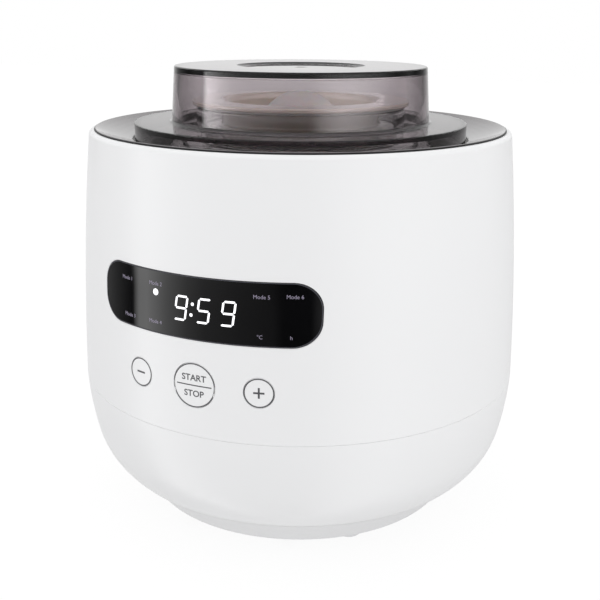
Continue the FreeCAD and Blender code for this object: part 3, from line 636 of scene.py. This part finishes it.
# ---------------------------------------------------------------- materials
MATERIALS = {
    "white_gloss": moulded("white_gloss", (0.822, 0.824, 0.832), 0.30, grain=520.0, relief=0.012,
                           variation=0.0012, cloudiness=60.0, specular=0.36),
    "base_white": moulded("base_white", (0.750, 0.752, 0.760), 0.34, grain=700.0, relief=0.05,
                          variation=0.006),
    "button_white": moulded("button_white", (0.822, 0.824, 0.832), 0.30, grain=800.0, relief=0.02,
                            variation=0.0012, cloudiness=60.0, specular=0.36),
    "foot_rubber": moulded("foot_rubber", (0.70, 0.70, 0.71), 0.62, grain=1600.0, relief=0.25,
                           variation=0.06, sheen=0.15),
    "screw_steel": metal("screw_steel", (0.62, 0.61, 0.59), 0.32, streaks=(1, 1, 1)),
    "trim_grey": moulded("trim_grey", (0.16, 0.15, 0.155), 0.12, grain=600.0, relief=0.012,
                         variation=0.04, coat=0.6),
    # the well's metal colour is dark grey, far darker than bare aluminium, so that the well looks
    # dark inside
    "well_aluminium": metal("well_aluminium", (0.34, 0.335, 0.33), 0.34, streaks=(9.0, 1.0, 9.0),
                            turned_about_z=True),
    "silicone_white": moulded("silicone_white", (0.78, 0.77, 0.75), 0.50, grain=1300.0, relief=0.12,
                              variation=0.03, translucency=0.15, sheen=0.1),
    "silicone_frosted": moulded("silicone_frosted", (0.84, 0.83, 0.83), 0.30, grain=900.0,
                                relief=0.03, variation=0.01, translucency=0.6, coat=0.3),
    "heater_silicone": moulded("heater_silicone", (0.42, 0.13, 0.05), 0.55, grain=300.0, relief=0.5,
                               variation=0.06),
    "insulation_felt": felt("insulation_felt", (0.70, 0.68, 0.62, 1.0)),
    "jar_glass": clear("jar_glass", (0.965, 0.985, 0.975), 0.012, 1.50, relief=0.02,
                       streak=(1.0, 1.0, 0.4)),
    "lid_cream": moulded("lid_cream", (0.78, 0.70, 0.62), 0.22, grain=900.0, relief=0.03,
                         variation=0.012, translucency=0.10, coat=1.0, coat_ior=1.9),
    # smoky lid, with painted shade on its skirt and on slanting views
    "smoky_clear": clear("smoky_clear", (0.97, 0.965, 0.97), 0.012, 1.49, relief=0.004,
                         streak=(1.0, 1.0, 0.5), absorbed=(0.160, 0.180, 0.172),
                         painted_skirt_shade=(73.5 * MM, 180.3 * MM)),
    "window_black": moulded("window_black", (0.0022, 0.0022, 0.0026), 0.035, grain=420.0,
                            relief=0.002, variation=0.2),
    "component_black": moulded("component_black", (0.030, 0.030, 0.032), 0.42, grain=1200.0,
                               relief=0.25, variation=0.12),
    "board_green": circuit("board_green", (0.012, 0.085, 0.030, 1.0), (0.72, 0.66, 0.52, 1.0)),
    "lamp_white": moulded("lamp_white", (0.82, 0.82, 0.78), 0.35, grain=1400.0, relief=0.05,
                          variation=0.03, translucency=0.1),
    "relay_blue": moulded("relay_blue", (0.02, 0.09, 0.42), 0.38, grain=1000.0, relief=0.12,
                          variation=0.05),
    "pin_brass": metal("pin_brass", (0.80, 0.60, 0.30), 0.25, streaks=(1.0, 40.0, 1.0)),
    "cable_grey": moulded("cable_grey", (0.30, 0.30, 0.31), 0.50, grain=900.0, relief=0.15,
                          variation=0.05, sheen=0.1),
}
INK = moulded("printed_ink", (0.075, 0.075, 0.082), 0.45, grain=2200.0, relief=0.2, variation=0.08)
# the panel's printed lettering is given a faint glow: painted light, since the print is no lamp
LABEL_PAINTED_GLOW = glowing("label_painted_glow", (0.30, 0.27, 0.36, 1.0), 0.35)
LIT = glowing("lit_white", (0.97, 0.97, 1.0, 1.0), 1.02)
DARK_BEAD = moulded("dark_bead", (0.010, 0.010, 0.011), 0.40, grain=900.0, relief=0.1, variation=0.1,
               specular=0.2)
BEAD = moulded("window_bead", (0.06, 0.06, 0.07), 0.40, grain=500.0, relief=0.01, variation=0.05,
               specular=0.2)


# ---------------------------------------------------------------- carried-over and refined pieces
SLOTS = {part["node"]: part["material_slot"] for part in frame["record"]["subparts"]}
TURNED = ("outer_lid", "glass_jar", "jar_lid", "jar_lid_seal", "vent_cap", "top_trim_ring")
REFINED = ("upper_shell", "lower_shell", "base_cover", "rubber_feet", "base_screws", "heating_well",
           "well_screws", "display_window", "power_inlet", "inlet_pins", "button_minus",
           "button_menu", "button_plus", "mains_leads", "control_cable")

for name, part in NODES.items():
    finish = MATERIALS[SLOTS[name]]
    if name in TURNED:
        turned(name, finish)
    elif name in REFINED:
        refined(name, finish)
    else:
        part.data.materials.clear()
        part.data.materials.append(finish)


# ---------------------------------------------------------------- display
NINE = ("top", "middle", "bottom", "upper_left", "upper_right", "lower_right")
FIVE = ("top", "middle", "bottom", "upper_left", "lower_right")
panel = Surface("display_window")
housing = body_of("display_window")

time_shown = bmesh.new()
for centre, segments in zip(DIGIT_PLACES, (NINE, FIVE, NINE)):
    digit(time_shown, centre, segments)
for rise in (-COLON_RISE, COLON_RISE):
    flat_disc(time_shown, (COLON_PLACE + rise * DIGIT_SLANT, rise), COLON_DOT)
printed("lit_digits", time_shown, 0.0, Z_DIGITS, panel, LIT, housing)

mode_light = bmesh.new()
flat_disc(mode_light, (0, 0), MODE_DOT)
printed("lit_mode_dot", mode_light, MODE_DOT_AZIMUTH, Z_MODE_DOT, panel, LIT, housing)

# small lettering behind the window: (azimuth, height in mm, words)
PANEL_WORDS = ((-20.0, 124.8, "Mode 1"), (-10.5, 125.4, "Mode 2"), (-18.9, 109.6, "Mode 3"),
               (-10.5, 109.8, "Mode 4"), (15.8, 125.0, "Mode 5"), (23.1, 125.4, "Mode 6"),
               (15.4, 109.2, "\u00b0C"), (22.3, 109.3, "h"))
for index, (azimuth, height, words) in enumerate(PANEL_WORDS):
    lettering = bmesh.new()
    flat_text(lettering, words, LABEL_CAPS, (0, 0))
    printed("panel_label_%d" % (index + 1), lettering, azimuth, height * MM, panel, LABEL_PAINTED_GLOW, housing)

# ---------------------------------------------------------------- window's edge bead
window_low, window_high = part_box("display_window")
shell_front = Surface("upper_shell", "display_window")
half_width = (window_high.x - window_low.x) / 2
half_height = (window_high.z - window_low.z) / 2
middle = (window_high.z + window_low.z) / 2
edge_points = []
for along, up in rounded_outline(half_width - BEAD_INSET, half_height - BEAD_INSET, PANEL_CORNER,
                                 PRINT_STEP):
    edge_points.append(shell_front.along_y(along, middle + up))
new_piece("window_edge_bead", tube(edge_points, BEAD_RADIUS), BEAD, housing)

# ---------------------------------------------------------------- dark bead between trim ring and rim
trim_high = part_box("top_trim_ring")[1]
dark_bead_points = []
for step in range(SPIN_STEPS):
    angle = 2 * math.pi * step / SPIN_STEPS
    dark_bead_points.append(Vector((trim_high.x * math.cos(angle), trim_high.x * math.sin(angle),
                               trim_high.z - DARK_BEAD_DROP)))
new_piece("trim_dark_bead", tube(dark_bead_points, DARK_BEAD_RADIUS), DARK_BEAD, housing)

# ---------------------------------------------------------------- marks on the keys
key_height = (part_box("button_menu")[0].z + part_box("button_menu")[1].z) / 2
KEYS = {"minus": (-KEY_AZIMUTH, SMALL_KEY), "menu": (0.0, MENU_KEY), "plus": (KEY_AZIMUTH, SMALL_KEY)}
for key, (azimuth, radius) in KEYS.items():
    node_name = "button_" + key
    cap = Surface(node_name)
    rim = bmesh.new()
    flat_ring(rim, radius - 0.62 * MM, radius - 0.12 * MM)
    printed(node_name + "_ring", rim, azimuth, key_height, cap, INK, body_of(node_name))
    mark = bmesh.new()
    if key == "menu":
        flat_bar(mark, (0, 0), KEY_LINE, 0.45 * MM)
        flat_text(mark, "START", KEY_CAPS, (0, KEY_WORD_RISE), 0.05 * MM)
        flat_text(mark, "STOP", KEY_CAPS, (0, -KEY_WORD_RISE), 0.05 * MM)
    else:
        flat_bar(mark, (0, 0), SIGN_LENGTH, INK_STROKE)
        if key == "plus":
            arm = (SIGN_LENGTH - INK_STROKE) / 2
            for side in (-1, 1):
                flat_bar(mark, (0, side * (arm + INK_STROKE) / 2), arm, INK_STROKE, math.pi / 2)
    printed(node_name + "_mark", mark, azimuth, key_height, cap, INK, body_of(node_name))

# ---------------------------------------------------------------- stage, light and camera
scene = bpy.context.scene
toward_camera = Vector((math.sin(math.radians(CAMERA_AZIMUTH)),
                        -math.cos(math.radians(CAMERA_AZIMUTH)), 0))
camera_right = Vector((math.cos(math.radians(CAMERA_AZIMUTH)),
                       math.sin(math.radians(CAMERA_AZIMUTH)), 0))

# reflected studio: (azimuth from the camera's direction, brightness), level with the lid and
# looking down past the shell
LEVEL_RING = ((-180, 1.0), (-165, 0.9), (-140, 0.15), (-118, 0.05), (-107, 0.2), (-95, 0.2),
              (-92, 4.0), (-81, 3.1), (-73, 2.2), (-65, 1.4), (-50, 0.7), (-35, 0.37), (-21, 0.22),
              (-13, 0.03), (7, 0.02), (14, 0.6), (22, 1.4), (30, 1.96), (38, 2.25), (52, 1.97),
              (67, 1.16), (83, 0.36), (92, 0.12), (110, 0.3), (122, 0.05), (140, 0.15), (165, 0.9),
              (180, 1.0))
LOW_RING = ((-180, 0.8), (-150, 0.7), (-93, 0.03), (-88.5, 2.0), (-83, 2.3), (-77, 1.9), (-70, 1.3),
            (-58, 0.60), (-48, 0.33), (-30, 0.20), (-13, 0.12), (-8, 0.02), (6, 0.02), (14, 0.5),
            (30, 1.3), (45, 1.5), (60, 1.1), (80, 0.5), (100, 0.4), (150, 0.6), (180, 0.8))
# soft light that falls on matt surfaces
SOFT_RING = ((-180, 1.15), (-130, 1.75), (-90, 1.5), (-40, 0.9), (-10, 0.78), (40, 1.45), (90, 1.55),
             (130, 1.1), (180, 1.1))
BRIGHTEST = 4.0
CEILING = 0.82                  # what shiny pieces reflect from above
OVERHEAD_LAMP = 1.12            # what falls on matt pieces from above
LID_BOOST = 1.8                 # added to what is seen through the lid, except on the far side
FAR_SIDE = -0.34
UNDER_LID = 1.75                # what falls on matt pieces under the lid
FLOOR_GLOW = (0.86, 1.004)      # for light that falls on pieces, and for the camera


def ring_of_light(tree, share, levels):
    """Brightness round the horizon, from (azimuth, brightness) pairs."""
    ramp = node(tree, "ValToRGB", {0: share})
    stops = ramp.color_ramp.elements
    while len(stops) > 1:
        stops.remove(stops[-1])
    for index, (azimuth, level) in enumerate(levels):
        stop = stops[0] if index == 0 else stops.new(0.5 + azimuth / 360)
        stop.position = 0.5 + azimuth / 360
        value = level / BRIGHTEST
        stop.color = (value, value, value, 1)
    return ramp.outputs[0]


def studio_world():
    """White surroundings, with a softbox and a dark camera side for reflections only."""
    world = bpy.data.worlds.new("studio")
    world.use_nodes = True
    world.cycles.sampling_method = "NONE"
    tree = world.node_tree
    tree.nodes.clear()
    direction = node(tree, "TexCoord").outputs["Generated"]
    right = node(tree, "VectorMath", {0: direction, 1: camera_right}, operation="DOT_PRODUCT")
    front = node(tree, "VectorMath", {0: direction, 1: toward_camera}, operation="DOT_PRODUCT")
    angle = maths(tree, "ARCTAN2", right.outputs["Value"], front.outputs["Value"])
    share = maths(tree, "MULTIPLY_ADD", angle, 1 / (2 * math.pi), 0.5)
    rise = node(tree, "SeparateXYZ", {0: direction}).outputs[2]
    level = ring_of_light(tree, share, LEVEL_RING)
    low = ring_of_light(tree, share, LOW_RING)
    above = node(tree, "MapRange", {0: rise, 1: 0.02, 2: 0.12}).outputs[0]
    sunk = node(tree, "MapRange", {0: rise, 1: -0.20, 2: 0.02}).outputs[0]
    rings = blended(tree, sunk, low, level)
    ceiling = CEILING / BRIGHTEST
    mirror = blended(tree, above, rings, (ceiling, ceiling, ceiling, 1))
    ray = node(tree, "LightPath")
    sideways = maths(tree, "GREATER_THAN", front.outputs["Value"], FAR_SIDE)
    through_lid = maths(tree, "MULTIPLY", sideways, ray.outputs["Is Transmission Ray"])
    power = maths(tree, "MULTIPLY_ADD", through_lid, LID_BOOST * BRIGHTEST, BRIGHTEST)
    reflected = node(tree, "Background", {0: mirror, 1: power})
    soft = ring_of_light(tree, share, SOFT_RING)
    overhead = node(tree, "MapRange", {0: rise, 1: 0.1, 2: 0.6}).outputs[0]
    lamp = OVERHEAD_LAMP / BRIGHTEST
    lit = blended(tree, overhead, soft, (lamp, lamp, lamp, 1))
    around = node(tree, "Background", {0: lit, 1: BRIGHTEST})
    seen = node(tree, "Background", {0: (1.0, 1.0, 1.0, 1.0), 1: 1.0})
    under_lid = node(tree, "Background", {0: (1.0, 0.975, 0.94, 1.0), 1: UNDER_LID})
    mirrored = maths(tree, "MAXIMUM", ray.outputs["Is Glossy Ray"],
                     ray.outputs["Is Transmission Ray"])
    first = node(tree, "MixShader", {0: ray.outputs["Is Camera Ray"], 1: around.outputs[0],
                                     2: seen.outputs[0]})
    second = node(tree, "MixShader", {0: mirrored, 1: first.outputs[0], 2: reflected.outputs[0]})
    scattered = maths(tree, "GREATER_THAN", ray.outputs["Diffuse Depth"], 0.5)
    inside = maths(tree, "MULTIPLY", scattered, ray.outputs["Is Transmission Ray"])
    third = node(tree, "MixShader", {0: inside, 1: second.outputs[0], 2: under_lid.outputs[0]})
    node(tree, "OutputWorld", {0: third.outputs[0]})
    return world


def floor_material():
    """Pale sheet that glows softly, so that its edge melts into the white surroundings."""
    material, tree, shader, place = new_material("pale_floor")
    clouds = noise(tree, place, 3.0)
    link(tree, blended(tree, clouds, (0.985, 0.985, 0.985, 1), (1, 1, 1, 1)), shader, "Base Color")
    shader.inputs["Roughness"].default_value = 0.8
    shader.inputs["Specular IOR Level"].default_value = 0.0
    ray = node(tree, "LightPath")
    glow = node(tree, "Emission", {0: (1.0, 1.0, 1.0, 1.0),
                                   1: spread(tree, ray.outputs["Is Camera Ray"], *FLOOR_GLOW)})
    sheet = node(tree, "MixShader", {0: 0.88, 1: shader.outputs[0], 2: glow.outputs[0]})
    gone = node(tree, "BsdfTransparent")
    mirrored = maths(tree, "SUBTRACT", ray.outputs["Is Glossy Ray"],
                     ray.outputs["Is Transmission Ray"])
    both = node(tree, "MixShader", {0: mirrored, 1: sheet.outputs[0], 2: gone.outputs[0]})
    tree.links.new(both.outputs[0], tree.nodes["Material Output"].inputs["Surface"])
    return material


scene.world = studio_world()
scene.view_settings.view_transform = "Standard"

sheet = bmesh.new()
bmesh.ops.create_grid(sheet, x_segments=8, y_segments=8, size=3.0)
floor_mesh = bpy.data.meshes.new("floor")
sheet.to_mesh(floor_mesh)
sheet.free()
floor_mesh.materials.append(floor_material())
floor = bpy.data.objects.new("floor", floor_mesh)
scene.collection.objects.link(floor)

camera = bpy.data.objects.new("camera", bpy.data.cameras.new("camera"))
camera.data.lens = LENS
camera.data.clip_start = 0.01
place = toward_camera * CAMERA_DISTANCE + Vector((0, 0, CAMERA_HEIGHT))
camera.matrix_world = (Matrix.Translation(place)
                       @ Matrix.Rotation(math.radians(CAMERA_AZIMUTH + CAMERA_YAW), 4, "Z")
                       @ Matrix.Rotation(math.radians(90 - CAMERA_PITCH), 4, "X")
                       @ Matrix.Rotation(math.radians(CAMERA_ROLL), 4, "Z"))
scene.collection.objects.link(camera)
scene.camera = camera
